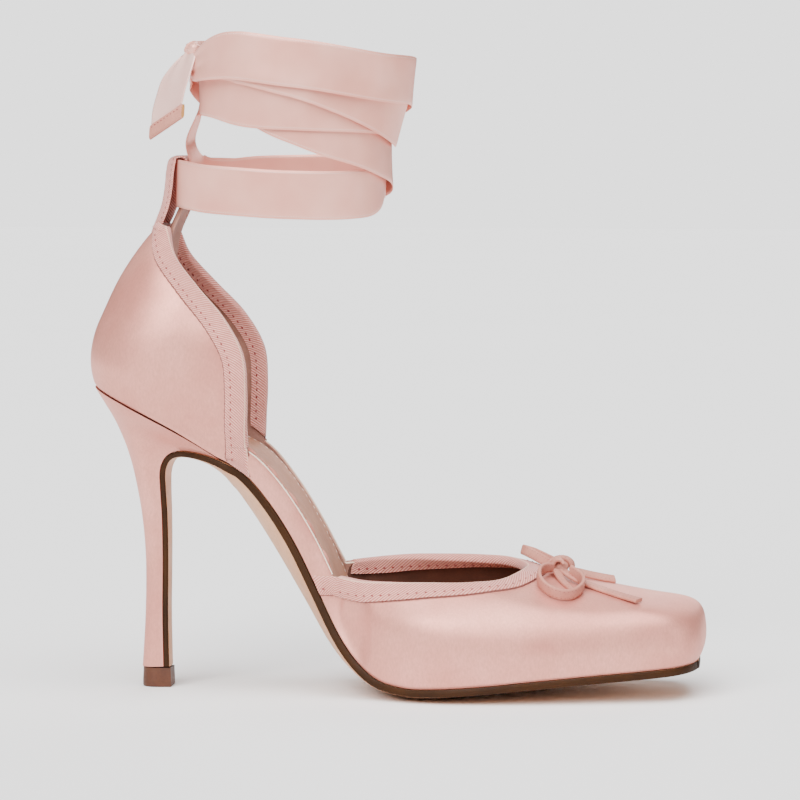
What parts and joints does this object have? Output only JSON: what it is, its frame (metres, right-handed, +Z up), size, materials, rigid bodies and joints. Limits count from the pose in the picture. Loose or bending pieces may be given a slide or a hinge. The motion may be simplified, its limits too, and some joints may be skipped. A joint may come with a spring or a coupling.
{
  "type": "stiletto heel",
  "caption": "High stiletto shoe with a square closed toe, open sides, a closed heel cup, a small bow and a ribbon wound round the ankle.",
  "frame": {"origin": "middle of the shoe's box in plan, on the floor", "axes": "+X to the toe, +Y to the inner side of the foot (a right shoe's left), +Z up"},
  "size_m": [0.2166, 0.08, 0.2294],
  "materials": {
    "satin": "satin",
    "sole_leather": "smooth",
    "lining_leather": "smooth",
    "tip_rubber": "matte",
    "grosgrain": "ribbed",
    "ribbon_satin": "satin",
    "trim_leather": "matte"
  },
  "bodies": {
    "root": {"upper": "satin", "outsole": "sole_leather", "insole": "lining_leather", "heel_block": "satin", "heel_tip": "tip_rubber", "vamp_binding": "grosgrain", "counter_binding": "grosgrain", "heel_tab": "grosgrain", "ankle_ribbon": "ribbon_satin", "ribbon_knot": "ribbon_satin", "tail_near": "ribbon_satin", "tail_far": "ribbon_satin", "tail_tip_near": "trim_leather", "tail_tip_far": "trim_leather", "bow_knot": "trim_leather", "bow_loop_near": "trim_leather", "bow_loop_far": "trim_leather", "bow_tail_near": "trim_leather", "bow_tail_far": "trim_leather"}
  },
  "joints": []
}
